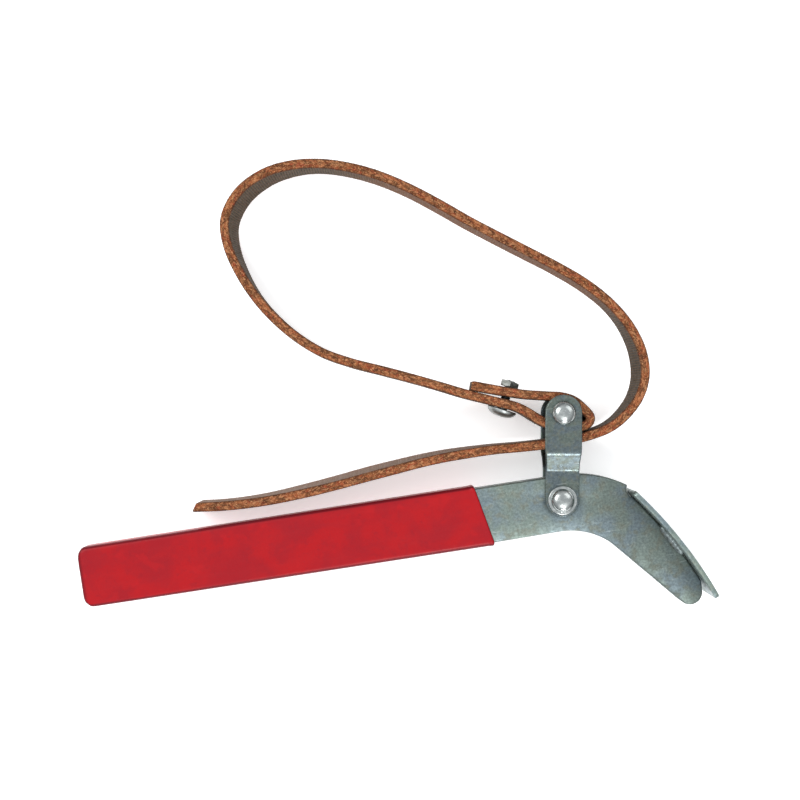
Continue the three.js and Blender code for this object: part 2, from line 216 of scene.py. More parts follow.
class Finish:
    """A material with a Principled shader and short calls for the nodes that feed it."""

    def __init__(self, name, **values):
        self.material = bpy.data.materials.new(name)
        self.material.use_nodes = True
        self.tree = self.material.node_tree
        self.shader = self.tree.nodes["Principled BSDF"]
        self.set(**values)

    def fill(self, socket, value):
        if isinstance(value, bpy.types.NodeSocket):
            self.tree.links.new(value, socket)
        else:
            socket.default_value = value

    def set(self, **values):
        for key, value in values.items():
            self.fill(self.shader.inputs[key.replace("_", " ")], value)

    def node(self, kind, inputs, output=0, **settings):
        made = self.tree.nodes.new(kind)
        for key, value in settings.items():
            setattr(made, key, value)
        for key, value in inputs.items():
            self.fill(made.inputs[key], value)
        return made.outputs[output]

    def place(self):
        """Position on the object, in metres."""
        return self.node("ShaderNodeTexCoord", {}, "Object")

    def along(self):
        """Position on the unbent piece, in millimetres."""
        return self.node("ShaderNodeAttribute", {}, "Vector", attribute_name="along")

    def stretch(self, vector, scale):
        return self.node("ShaderNodeMapping", {"Vector": vector, "Scale": scale})

    def noise(self, vector, scale, detail=3.0, roughness=0.55, distortion=0.0):
        values = {"Vector": vector, "Scale": scale, "Detail": detail,
                  "Roughness": roughness, "Distortion": distortion}
        return self.node("ShaderNodeTexNoise", values)

    def cells(self, vector, output, feature="F1"):
        return self.node("ShaderNodeTexVoronoi", {"Vector": vector, "Scale": 1.0}, output, feature=feature)

    def maths(self, operation, a, b=0.0):
        return self.node("ShaderNodeMath", {0: a, 1: b}, operation=operation)

    def split(self, vector):
        made = self.tree.nodes.new("ShaderNodeSeparateXYZ")
        self.fill(made.inputs[0], vector)
        return made.outputs

    def step(self, value, start, end, low=0.0, high=1.0):
        """Goes from low to high as value goes from start to end."""
        values = {"Value": value, "From Min": start, "From Max": end, "To Min": low, "To Max": high}
        return self.node("ShaderNodeMapRange", values, interpolation_type="SMOOTHSTEP")

    def blend(self, share, a, b, mode="MIX"):
        return self.node("ShaderNodeMix", {0: share, 6: a, 7: b}, 2, data_type="RGBA", blend_type=mode)

    def bump(self, height, strength, distance):
        return self.node("ShaderNodeBump", {"Height": height, "Strength": strength, "Distance": distance})


# %% [markdown]
# ## Finish: dull zinc plating
#
# The lever, the jaw shoe and the links are pressed steel with a thin zinc plating. Plating over a
# rolled sheet isn't even: it has cloudy patches that lean to green, blue or olive, and fine handling
# marks. Real zinc grows this way in the bath; noise at three sizes copies it.

# %% Make the zinc, weld and rivet finishes
def zinc(name, shade, cloud=60.0, roughness=(0.36, 0.6), relief=0.22, painted_shade_from=None):
    """Cloudy plating: noise at three sizes mixes four greys, and the same clouds make it duller or shinier.

    Its last argument is where along X, in metres, the plating starts to be painted darker, as shade, over
    the next 30 mm.
    """
    f = Finish(name, Metallic=0.82, Specular_IOR_Level=0.5)
    place = f.place()
    large = f.noise(place, cloud, 2.0, 0.5, 0.6)
    medium = f.noise(place, cloud * 4.5, 2.0, 0.55)
    fine = f.noise(place, 1100.0, 4.0, 0.7)
    green, blue, olive, pale = (srgb(*(np.array(c) * shade)) for c in (
        (134, 148, 141), (129, 144, 149), (137, 142, 130), (164, 174, 168)))
    colour = f.blend(f.step(large, 0.40, 0.60), green, blue)
    colour = f.blend(f.step(medium, 0.48, 0.68, 0.0, 0.7), colour, olive)
    small = f.noise(place, cloud * 9, 3.0, 0.6, 1.2)
    colour = f.blend(f.step(small, 0.56, 0.72, 0.0, 0.55), colour, pale)
    speck = f.step(fine, 0.30, 0.70, 0.70, 1.10)
    if painted_shade_from is not None:  # painted shade: darker towards the head
        speck = f.maths("MULTIPLY", speck, f.step(f.split(place)[0], painted_shade_from, painted_shade_from + 0.03, 1.0, 0.66))
    colour = f.blend(1.0, colour, f.node("ShaderNodeCombineXYZ", {0: speck, 1: speck, 2: speck}), "MULTIPLY")
    scratch = f.noise(f.stretch(place, (90.0, 1600.0, 900.0)), 1.0, 2.0, 0.5, 0.3)
    mark = f.step(scratch, 0.68, 0.74)
    colour = f.blend(f.maths("MULTIPLY", mark, 0.2), colour, srgb(205, 212, 210))
    f.set(Base_Color=colour, Roughness=f.step(medium, 0.3, 0.7, *roughness))
    height = f.maths("ADD", f.maths("MULTIPLY", fine, 0.2), medium)
    height = f.maths("SUBTRACT", height, f.maths("MULTIPLY", mark, 0.25))
    f.set(Normal=f.bump(height, relief, 0.0004))
    return f.material


def bright_steel(name, tone, roughness, centre):
    """Plated steel with turning marks: faint rings about the piece's own axis, under soft clouds."""
    f = Finish(name, Metallic=1.0)
    place = f.node("ShaderNodeVectorMath", {0: f.place(), 1: tuple(centre)}, operation="SUBTRACT")
    x, y, _ = f.split(place)
    radius = f.maths("SQRT", f.maths("ADD", f.maths("MULTIPLY", x, x), f.maths("MULTIPLY", y, y)))
    rings = f.noise(f.node("ShaderNodeCombineXYZ", {0: radius}), 5200.0, 2.0, 0.6)
    clouds = f.noise(place, 420.0, 4.0, 0.6, 0.5)
    colour = f.blend(f.step(clouds, 0.38, 0.66), srgb(*tone[0]), srgb(*tone[1]))
    f.set(Base_Color=colour, Roughness=f.step(clouds, 0.3, 0.7, *roughness))
    f.set(Normal=f.bump(rings, 0.03, 0.0001))
    return f.material


def weld_metal():
    """Plated weld: darker than the sheet, with heat-tinted streaks across the bead."""
    f = Finish("weld", Metallic=0.85)
    place = f.place()
    streak = f.noise(place, 700.0, 4.0, 0.65, 0.8)
    colour = f.blend(f.step(streak, 0.38, 0.64), srgb(96, 104, 104), srgb(128, 138, 138))
    tint = f.noise(place, 260.0, 2.0)
    colour = f.blend(f.step(tint, 0.52, 0.7, 0.0, 0.5), colour, srgb(112, 104, 84))
    f.set(Base_Color=colour, Roughness=f.step(streak, 0.3, 0.7, 0.3, 0.55))
    f.set(Normal=f.bump(streak, 0.2, 0.0004))
    return f.material


lever_zinc = zinc("lever zinc", 0.95, painted_shade_from=float(ORIGIN[0]) - 0.005)
shoe_zinc = zinc("shoe zinc", 0.98, 90.0, (0.28, 0.5))
link_zinc = zinc("link zinc", 0.76, 140.0, (0.26, 0.38), 0.06)
bare_bright = ((160, 165, 164), (184, 188, 186))
dark_plate = ((98, 100, 96), (150, 152, 148))
lever_rivet_steel = bright_steel("lever rivet steel", bare_bright, (0.14, 0.3), ORIGIN)
pin_steel = bright_steel("strap pin steel", bare_bright, (0.16, 0.32), middle_of("strap_pin"))
screw_steel = bright_steel("screw steel", bare_bright, (0.34, 0.46), middle_of("strap_screw"))
tube_steel = bright_steel("tube steel", dark_plate, (0.3, 0.5), ORIGIN)
nut_steel = bright_steel("nut steel", dark_plate, (0.26, 0.46), middle_of("strap_nut"))
weld_steel = weld_metal()
print("metals:", [m.name for m in bpy.data.materials])

# %% [markdown]
# ## Finish: dipped red vinyl
#
# The handle is dipped in warm vinyl, which cools with a glossy skin. Its colour is never even: pigment
# settles in soft clouds, and shade is painted darker along the rounded corners.

# %% Make the vinyl
def dipped_vinyl():
    """Red with crimson clouds at two sizes, painted shade along the rounded corners, with a fine
    orange-peel skin and a few rubbed places."""
    f = Finish("dipped vinyl", Specular_IOR_Level=0.15, Coat_Weight=0.05, Coat_Roughness=0.2)
    place = f.place()
    clouds = f.noise(place, 75.0, 3.0, 0.55, 0.4)
    spots = f.noise(place, 330.0, 3.0, 0.6)
    colour = f.blend(f.step(clouds, 0.34, 0.66), srgb(163, 14, 22), srgb(149, 16, 27))
    colour = f.blend(f.step(spots, 0.54, 0.72, 0.0, 0.4), colour, srgb(138, 17, 30))
    colour = f.blend(f.step(f.noise(place, 150.0, 2.0), 0.60, 0.72, 0.0, 0.4), colour, srgb(172, 17, 24))
    _, _, z = f.split(place)
    depth = f.maths("ABSOLUTE", f.maths("SUBTRACT", z, float(ORIGIN[2])))
    # Painted shade: darker crimson along the grip's rounded corners
    painted_edge_shade = f.maths("MULTIPLY", f.step(depth, 0.00668, 0.00640), f.step(depth, 0.0046, 0.0054))
    colour = f.blend(f.maths("MULTIPLY", painted_edge_shade, 0.75), colour, srgb(84, 12, 24))
    rubbed = f.noise(f.stretch(place, (40.0, 420.0, 420.0)), 1.0, 4.0, 0.6)
    f.set(Base_Color=colour, Roughness=f.step(rubbed, 0.4, 0.7, 0.34, 0.42))
    peel = f.noise(place, 900.0, 2.0, 0.5)
    height = f.maths("ADD", f.maths("MULTIPLY", peel, 0.35), spots)
    f.set(Normal=f.bump(height, 0.16, 0.0007))
    return f.material


vinyl = dipped_vinyl()
print("made", vinyl.name)

# %% [markdown]
# ## Finish: impregnated woven belting
#
# The strap is several plies of cotton or nylon woven together and filled with brown rubber. On its
# narrow edge the cut yarns show as light and dark specks; on its flat faces the weft makes fine ribs
# across the strap. The finish reads the attribute "along": x is the distance along the strap, y is
# through its thickness and z is across its width, all in millimetres, so the weave follows every bend.

# %% Make the belting
EDGE_Z = 10.0  # half the strap's width
FACE_Y = 1.8  # half its thickness
RIB = 1.1  # distance between two ribs of the weave
BROWN_STARTS, BROWN_ENDS = (285, 320), (425, 400)  # the loop's top is browner between these distances along
TAIL_LIGHT_STARTS = (470, 530)  # the strap's faces are painted lighter, as lit, over this stretch and stay so to the free end


def belting():
    """Edge and face patterns, chosen by how near a point is to the strap's edge, with dirt and red patches
    in both. Shade is painted along the edge's borders and over the faces, and light on the tail's faces."""
    f = Finish("belting", Specular_IOR_Level=0.12)
    along = f.along()
    s, t, w = f.split(along)
    patches = f.noise(f.stretch(along, (0.16, 0.5, 0.3)), 1.0, 3.0, 0.6, 0.4)
    red = f.noise(f.stretch(along, (0.28, 0.6, 0.2)), 1.0, 2.0, 0.6, 0.8)
    # Edge: yarn ends in slanting rows
    slant = f.node("ShaderNodeCombineXYZ", {0: f.maths("ADD", s, f.maths("ABSOLUTE", t)), 1: t, 2: w})
    cloth = f.stretch(slant, (0.95, 1.35, 0.3))
    shade = f.split(f.cells(cloth, "Color"))[0]
    groove = f.cells(cloth, "Distance", "DISTANCE_TO_EDGE")
    yarn = f.noise(f.stretch(slant, (1.5, 1.9, 0.4)), 1.0, 3.0, 0.68, 0.5)
    fibre = f.noise(f.stretch(slant, (2.1, 2.6, 0.6)), 1.0, 2.0, 0.6)
    edge = f.blend(f.step(patches, 0.38, 0.60), srgb(154, 90, 54), srgb(104, 66, 40))
    edge = f.blend(f.step(red, 0.50, 0.66, 0.0, 0.7), edge, srgb(150, 62, 40))
    edge = f.blend(f.step(shade, 0.55, 0.95, 0.0, 0.7), edge, srgb(74, 42, 26))
    edge = f.blend(f.step(shade, 0.40, 0.05, 0.0, 0.5), edge, srgb(196, 138, 96))
    edge = f.blend(f.step(groove, 0.10, 0.0, 0.0, 0.6), edge, srgb(60, 34, 24))
    edge = f.blend(f.step(yarn, 0.54, 0.66, 0.0, 0.6), edge, srgb(84, 48, 32))
    edge = f.blend(f.step(fibre, 0.58, 0.66, 0.0, 0.8), edge, srgb(214, 156, 108))
    # Painted shade: the edge is darker next to both faces
    painted_border_shade = f.step(f.maths("ABSOLUTE", t), 1.2, 1.7)
    edge = f.blend(f.maths("MULTIPLY", painted_border_shade, 0.6), edge, srgb(58, 36, 28))
    # Faces: ribs across the strap, on dark colours that are painted shade
    rib = f.maths("SINE", f.maths("MULTIPLY", s, 2 * math.pi / RIB))
    rib = f.maths("ADD", rib, f.maths("MULTIPLY", f.noise(f.stretch(along, (2.2, 1.0, 0.5)), 1.0), 2.0))
    face = f.blend(f.step(patches, 0.34, 0.66), srgb(76, 64, 52), srgb(54, 47, 39))
    face = f.blend(f.step(rib, 0.4, 1.7, 0.0, 0.65), face, srgb(100, 80, 60))
    face = f.blend(f.step(red, 0.54, 0.7, 0.0, 0.35), face, srgb(92, 58, 48))
    # The loop's top is browner and lighter, with less painted shade
    browner = f.maths("MULTIPLY", f.step(s, *BROWN_STARTS), f.step(s, *BROWN_ENDS))
    face = f.blend(f.maths("MULTIPLY", browner, 0.6), face, srgb(122, 80, 54))
    # Painted light: the tail's faces are lighter, as lit
    painted_tail_light = f.step(s, *TAIL_LIGHT_STARTS)
    face = f.blend(f.maths("MULTIPLY", painted_tail_light, 0.75), face, srgb(134, 108, 92))
    is_edge = f.step(f.maths("ABSOLUTE", w), EDGE_Z - 1.0, EDGE_Z - 0.35)
    f.set(Base_Color=f.blend(is_edge, face, edge))
    f.set(Roughness=f.step(yarn, 0.3, 0.7, 0.62, 0.86))
    weave = f.blend(is_edge, f.node("ShaderNodeCombineXYZ", {0: f.maths("MULTIPLY", rib, 0.25)}),
                    f.node("ShaderNodeCombineXYZ", {0: f.maths("ADD", yarn, fibre)}))
    f.set(Normal=f.bump(f.split(weave)[0], 0.45, 0.0006))
    return f.material


webbing = belting()
print("made", webbing.name)

# %% [markdown]
# ## The strap's line
#
# The strap starts at a cut end, runs over the strap pin, back beside itself, round the loop and out
# through the links to its free end. A spline through points on the real strap's line gives its middle
# line. The strap lies loose, so away from the pin it sinks to the table, and its lower edge leans a
# little in the far bend, in the right bend and along the tail.

# %% Spline, arc length and settling
ROUTE = np.array([
    [-28.9, 51.0], [-19.0, 47.6], [-8.3, 44.2], [0.5, 42.2], [6.2, 40.9], [10.5, 38.7], [14.0, 34.8],
    [16.0, 31.2], [15.0, 29.0], [12.2, 28.1], [7.5, 28.1], [2.8, 28.9], [-3.1, 32.5], [-11.7, 39.3],
    [-22.3, 44.0], [-33.0, 48.6], [-40.9, 52.4], [-52.2, 57.6], [-63.6, 62.6], [-75.2, 67.6],
    [-86.5, 73.8], [-97.0, 83.0], [-106.0, 94.6], [-113.0, 108.2], [-117.0, 122.0], [-116.4, 132.8],
    [-109.6, 142.4], [-98.5, 148.3], [-86.5, 149.9], [-74.5, 148.6], [-63.2, 145.2], [-52.3, 140.2],
    [-41.6, 133.6], [-30.9, 125.6], [-20.0, 116.8], [-9.1, 108.6], [1.8, 100.6], [12.6, 92.6],
    [23.0, 83.8], [31.6, 74.2], [37.6, 64.0], [40.6, 54.0], [40.4, 44.4], [36.8, 36.4], [30.4, 30.0],
    [23.4, 26.0], [14.5, 24.0], [6.0, 23.3], [-4.3, 23.2], [-13.5, 23.6], [-23.6, 24.2], [-33.6, 24.3],
    [-43.8, 24.1], [-54.0, 23.4], [-64.3, 22.3], [-74.6, 21.2], [-84.9, 20.0], [-95.2, 19.0],
    [-105.4, 18.3], [-115.6, 17.9], [-125.7, 18.0], [-135.8, 18.6], [-146.5, 19.8],
])
SAG_FROM, SAG_TO, SAG_DEPTH = 15, 120, 5.8  # distances from the strap pin, and how far the strap sinks
LEAN_CENTRE, LEAN_REACH, LEAN_DEPTH = np.array([-80, 118]), -60, 2.5  # the far bend
LEAN_FROM, LEAN_TO = math.radians(80), math.radians(222)
TAIL_LEAN, TAIL_MIDDLE, TAIL_REACH, TAIL_BELOW = 1.7, -78, 68, 27
BEND_LEAN, BEND_AT, BEND_REACH = 1.6, (40.5, 46), 34  # the right bend


def hump(share):
    """1 in the middle, falling to nothing as share reaches 1 on either side."""
    return 1 - smooth(np.abs(share))


def route_at(place):
    """Middle line and direction of the strap at places counted in route points.

    A centripetal Catmull-Rom spline: between two points it is a cubic in the share w of the way, whose
    slopes at both ends weigh the neighbouring chords by the square roots of their lengths.
    """
    ends = np.vstack([2 * ROUTE[0] - ROUTE[1], ROUTE, 2 * ROUTE[-1] - ROUTE[-2]])
    i = np.clip(np.floor(place).astype(int), 0, len(ROUTE) - 2)
    w = (place - i)[:, None]
    p0, p1, p2, p3 = (ends[i + k] for k in range(4))
    d0, d1, d2 = (np.sqrt(np.linalg.norm(b - a, axis=1, keepdims=True))
                  for a, b in ((p0, p1), (p1, p2), (p2, p3)))
    m1 = ((p1 - p0) / d0 - (p2 - p0) / (d0 + d1) + (p2 - p1) / d1) * d1
    m2 = ((p2 - p1) / d1 - (p3 - p1) / (d1 + d2) + (p3 - p2) / d2) * d1
    c2, c3 = 3 * (p2 - p1) - 2 * m1 - m2, 2 * (p1 - p2) + m1 + m2
    middle = p1 + w * (m1 + w * (c2 + w * c3))
    return middle, unit(m1 + w * (2 * c2 + 3 * w * c3))


def settled(points):
    """Lets points down to the table away from the pin, and leans the strap's lower edge.

    In the far bend it leans outwards from LEAN_CENTRE by a squared sine of the angle, where lower goes
    from 0 at the upper edge to 1 at the lower one. In the tail and the right bend it leans by a hump.
    """
    x, y, z = np.moveaxis(points, -1, 0)
    distance = np.hypot(x - PIN[0], y - PIN[1])
    sag = SAG_DEPTH * smooth((distance - SAG_FROM) / (SAG_TO - SAG_FROM))
    angle = np.arctan2(y - LEAN_CENTRE[1], x - LEAN_CENTRE[0]) % (2 * np.pi)
    share = np.clip((angle - LEAN_FROM) / (LEAN_TO - LEAN_FROM), 0, 1)
    lower = 0.5 - z / (2 * EDGE_Z)
    inset = (x < LEAN_REACH) * LEAN_DEPTH * np.sin(np.pi * share) ** 2 * lower
    tail = TAIL_LEAN * lower * hump((x - TAIL_MIDDLE) / TAIL_REACH) * (y < TAIL_BELOW)
    bend = BEND_LEAN * lower * hump(np.hypot(x - BEND_AT[0], y - BEND_AT[1]) / BEND_REACH)
    return np.stack([x - inset * np.cos(angle) - bend, y - inset * np.sin(angle) + tail, z - sag], -1)


fine_places = np.linspace(0, len(ROUTE) - 1, 12401)
fine_line, _ = route_at(fine_places)
fine_length = np.concatenate([[0], np.cumsum(np.linalg.norm(np.diff(fine_line, axis=0), axis=1))])
STRAP_LENGTH = fine_length[-1]
print("strap length", round(STRAP_LENGTH, 1), "mm")

# %% [markdown]
# ## The strap
#
# On the real wrench the strap is one length of belting 20 mm wide and 3.6 mm thick. It is made here as
# one continuous weave that is cut into nine pieces, one for each stretch of it between the part's hinges.
# Neighbouring pieces share the ring of points where they meet, half way between two hinges, so
# the weave runs on without a step. The ribs and the frayed edge are real relief in the mesh.

# %% Build the strap's nine pieces
STATION = 0.36  # distance between two rings
CORNER = 0.7  # radius of the strap's long corners
CUT_SLANT = 0.5  # how far the free end's cut leans forward for each millimetre of thickness
CUT_REACH = 5
strap_ring = divided(
    rounded([[-FACE_Y, -EDGE_Z], [FACE_Y, -EDGE_Z], [FACE_Y, EDGE_Z], [-FACE_Y, EDGE_Z]], CORNER, 4),
    0.55,
)
ring_out = unit(np.roll(strap_ring, -1, 0) - np.roll(strap_ring, 1, 0))[:, ::-1] * [1, -1]


def strap_grid(lengths):
    """Rings of the strap at distances along it.

    At each ring the section is a rounded rectangle across the route's direction. It is pushed out by
    ribs on the faces, which are a cosine of the distance along, and by yarn ends on the edges. The free
    end is cut at a slant.
    """
    middle, along = route_at(np.interp(lengths, fine_length, fine_places))
    side = np.stack([-along[:, 1], along[:, 0]], -1)
    s = lengths[:, None]
    t, w = strap_ring[:, 0][None], strap_ring[:, 1][None]
    on_edge = smooth((np.abs(w) - EDGE_Z + 0.9) / 0.6)
    ribs = 0.045 * np.cos(2 * np.pi * s / RIB + 0.5 * np.sin(w * 2.1 + s * 0.13))
    yarns = 0.11 * ripple(s, t * 1.4, w * 0.8, seed=3, waves=9, sizes=(0.9, 2.4))
    soft = 0.12 * ripple(s, w, seed=5, waves=6, sizes=(14, 60))
    push = 0.1 + (1 - on_edge) * ribs + on_edge * yarns + soft
    end = np.minimum(s, STRAP_LENGTH - s)  # the two cut ends are a little rounded
    push = push - 0.35 * (1 - smooth(end / 0.7))
    t = t + push * ring_out[:, 0]
    w = w + push * ring_out[:, 1]
    forward = CUT_SLANT * smooth((s - STRAP_LENGTH + CUT_REACH) / CUT_REACH) * t
    x, y = (middle[:, None, k] + t * side[:, None, k] + forward * along[:, None, k] for k in (0, 1))
    points = np.stack([x, y, w], -1)
    coords = np.stack(np.broadcast_arrays(s, strap_ring[:, 0][None], strap_ring[:, 1][None]), -1)
    return settled(points), coords


# Each piece: where it ends (in route points), its bodies, the route point of the hinge it bends at, and how
# far the bend reaches to both sides of that hinge, in millimetres.
STRAP_PIECES = [
    ("strap_eye_fold", 15.25, ["strap_eye"], None, 0),
    ("strap_loop_start", 19.0, ["strap_eye", "strap_loop_1"], 16, 6),
    ("strap_loop_left", 25.5, ["strap_loop_1", "strap_loop_2"], 22, 9),
    ("strap_far_bend", 32.5, ["strap_loop_2", "strap_loop_3"], 29, 9),
    ("strap_loop_top", 38.0, ["strap_loop_3", "strap_loop_4"], 36, 8),
    ("strap_loop_right", 42.5, ["strap_loop_4", "strap_loop_5"], 40, 8),
    ("strap_throat_run", 47.5, ["strap_loop_5", "strap_throat"], 45, 6),
    ("strap_tail_root", 51.0, ["strap_throat", "strap_tail_root"], 50, 6),
    ("strap_free_tail", 62.0, ["strap_tail_root", "strap_tail"], 52, 7),
]
stations = np.linspace(0, STRAP_LENGTH, round(STRAP_LENGTH / STATION) + 1)
station_place = np.interp(stations, fine_length, fine_places)
strap_pieces = {}
first = 0
for name, until, bodies, hinge, reach in STRAP_PIECES:
    last = int(np.argmin(np.abs(station_place - until)))
    grid, coords = strap_grid(stations[first : last + 1])
    piece = surface(name, grid, webbing, coords=coords)
    if hinge is None:
        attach(piece, bodies[0])
    else:
        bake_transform(piece)
    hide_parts(bodies[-1])
    strap_pieces[name] = piece
    print(name, "rings", first, "to", last, "faces", len(piece.data.polygons))
    first = last

# %% [markdown]
# ## Drilling
#
# Holes are cut with a boolean, the way a punch would cut them, so their edges are crisp.

# %% Helper that drills a hole
def vectors(values, key, count):
    """The numbers of a mesh's vertices or of an attribute, as one row of three for each."""
    flat = np.zeros(count * 3, np.float32)
    values.foreach_get(key, flat)
    return flat.reshape(-1, 3)


def copy_along(old, new):
    """Gives each vertex of a drilled mesh the finish coordinates of the nearest vertex before drilling,
    because the boolean empties them."""
    tree = KDTree(len(old.vertices))
    for i, vertex in enumerate(old.vertices):
        tree.insert(vertex.co, i)
    tree.balance()
    nearest = [tree.find(vertex.co)[1] for vertex in new.vertices]
    along = vectors(old.attributes["along"].data, "vector", len(old.vertices))[nearest]
    attribute = new.attributes.get("along") or new.attributes.new("along", "FLOAT_VECTOR", "POINT")
    attribute.data.foreach_set("vector", along.ravel())


def drill(piece, centre, direction, radius, depth):
    """Cuts a round hole in a piece. centre and depth are in millimetres from the lever rivet."""
    bpy.ops.mesh.primitive_cylinder_add(vertices=64, radius=radius * MM, depth=depth * MM)
    tool = bpy.context.object
    turn = Vector((0, 0, 1)).rotation_difference(Vector(direction)).to_matrix().to_4x4()
    tool.data.transform(turn)
    tool.data.transform(turn.Translation(Vector(ORIGIN + np.array(centre) * MM)))
    cut = piece.modifiers.new("hole", "BOOLEAN")
    cut.object, cut.operation, cut.solver = tool, "DIFFERENCE", "EXACT"
    graph = bpy.context.evaluated_depsgraph_get()
    shape = bpy.data.meshes.new_from_object(
        piece.evaluated_get(graph), preserve_all_data_layers=True, depsgraph=graph
    )
    piece.modifiers.clear()
    old = piece.data
    if "along" in old.attributes:
        copy_along(old, shape)
    piece.data = shape
    bpy.data.meshes.remove(old)
    bpy.data.objects.remove(tool)


SCREW = np.array([-15.6, 44.1, 0.0])
SCREW_ANGLE = math.radians(64)
SCREW_AXIS = (math.cos(SCREW_ANGLE), math.sin(SCREW_ANGLE), 0)
SCREW_RADIUS = 2.0
drill(strap_pieces["strap_eye_fold"], SCREW, SCREW_AXIS, SCREW_RADIUS + 0.15, 16)
print("eye fold has", len(strap_pieces["strap_eye_fold"].data.polygons), "faces after drilling")

# %% [markdown]
# ## Rivets, washers and tubes
#
# Each rivet is a shank with a domed head at both ends, set by hammering, so the dome is a little flat
# on top. These are turned shapes: one profile carried round an axis.

# %% Build the turned pieces
LEVER_HALF = 6.0  # half the lever's width
SHEET = 2.0  # thickness of the plates
SHANK = 2.5  # radius of a rivet's shank
CLEARANCE = 0.3  # what the part keeps between touching pieces
DOME_FLAT = 0.22


def dome(radius, height):
    """Quarter profile of a hammered head, from its rim to its top: an ellipse whose cosine is raised to a
    power below 1, which levels the top."""
    a = np.linspace(0.0, np.pi / 2, 40)
    return np.stack([radius * np.cos(a) ** (1 - DOME_FLAT), height * np.sin(a)], -1)


def rivet(name, centre, head, low, material, body, node):
    """A shank with two heads whose undersides are at -low and low. The profile is symmetric in height."""
    radius, height = head
    top = dome(radius, height)
    rim = rounded([[SHANK, 0], [radius, 0], [radius, 0.3]], 0.12, 4, closed=False)
    half = np.vstack([rim[:-1], top[top[:, 1] > 0.2][:-1], [[0.05, height]]]) + [0, low]
    profile = np.vstack([half[::-1] * [1, -1], half])
    stand_in(surface(name, turned_grid(profile) + centre, material), body, node)


def ring(name, centre, inner, outer, low, high, edge, material, body, slot, node):
    """A tube or washer: a rectangle with rounded corners turned about the axis."""
    corners = [[inner, low], [outer, low], [outer, high], [inner, high]]
    grid = turned_grid(rounded(corners, edge, 5)) + centre
    stand_in(surface(name, grid, material, "loop"), body, node)


pin_at = np.array([PIN[0], PIN[1], 0])
plate_low = LEVER_HALF + CLEARANCE
washer_low = plate_low + SHEET + CLEARANCE
plate_high = 10.6  # the same height at the strap pin
LEVER_TUBE, PIN_TUBE = 3.7, plate_high - CLEARANCE  # half lengths of the two tubes
rivet("lever_rivet", np.zeros(3), (4.7, 2.7), 9.6, lever_rivet_steel, "lever", "lever_rivet")
rivet("strap_pin", pin_at, (4.8, 3.0), 12.85, pin_steel, "link", "strap_pin")
for side, word in ((1, "front"), (-1, "rear")):
    heights = sorted((side * (washer_low - 0.25), side * (washer_low + 0.95)))
    ring("lever_washer_" + word, np.zeros(3), 2.7, 5.8, *heights, 0.3, lever_rivet_steel, "lever",
         "rivet_steel", "lever_washer_" + word)
ring("lever_spacer", np.zeros(3), 2.7, 4.0, -LEVER_TUBE, LEVER_TUBE, 0.25, tube_steel, "lever",
     "dark_steel", "lever_spacer")
ring("strap_pin_tube", pin_at, 2.7, 4.0, -PIN_TUBE, PIN_TUBE, 0.25, tube_steel, "link",
     "dark_steel", "strap_pin_spacer")
print("plates stand", plate_low, "mm from mid width at the lever rivet and", plate_high, "at the strap pin")

# %% [markdown]
# ## Strap screw and nut
#
# An M4 screw with a mushroom head clamps both plies of the strap's eye. The thread is a real helix of
# 0.7 mm pitch. The nut has its 30 degree chamfers, which is what makes a nut look like a nut.

# %% Build the screw and the nut
SCREW_HEAD_AT, NUT_AT, NUT_THICK, ACROSS = -5.2, 4.35, 2.4, 7.0
HEAD_RADIUS, HEAD_HEIGHT, SCREW_END = 6.0, 2.9, 7.0
PITCH = 0.7


def on_screw(grid):
    """Turns a grid drawn along Z so that its Z runs along the screw's axis, towards the nut."""
    x, y, z = np.moveaxis(grid, -1, 0)
    axis = np.array(SCREW_AXIS)
    across = np.array([-axis[1], axis[0], 0])
    return SCREW + x[..., None] * across + y[..., None] * np.array([0, 0, 1]) + z[..., None] * axis


def screw_grid():
    """Head, shank and thread. On the thread the radius falls by up to 0.3 mm as a triangle wave of
    height less one pitch per turn, which makes the helix."""
    a = np.linspace(np.pi / 2, 0, 36)
    cap = np.stack([HEAD_RADIUS * np.cos(a) ** 0.85, SCREW_HEAD_AT - HEAD_HEIGHT * np.sin(a)], -1)
    cap[0, 0] = 0.05
    rim = [[5.9, SCREW_HEAD_AT + 0.18], [5.6, SCREW_HEAD_AT + 0.3], [2.1, SCREW_HEAD_AT + 0.3]]
    shank = np.stack([np.full(160, SCREW_RADIUS), np.linspace(SCREW_HEAD_AT + 0.35, SCREW_END, 160)], -1)
    profile = np.vstack([cap, rim, shank, [[1.7, SCREW_END + 0.15], [0.05, SCREW_END + 0.15]]])
    grid = turned_grid(profile, 72)
    angle = np.linspace(0, 1, 72, endpoint=False)[None]
    turns = (grid[..., 2] / PITCH - angle) % 1
    thread = smooth((profile[:, 1] + 1.5) / 1.0) * (profile[:, 0] > 1.9)
    shrink = 1 - 0.15 * np.abs(2 * turns - 1) * thread[:, None]
    grid[..., :2] *= shrink[..., None]
    return on_screw(grid)


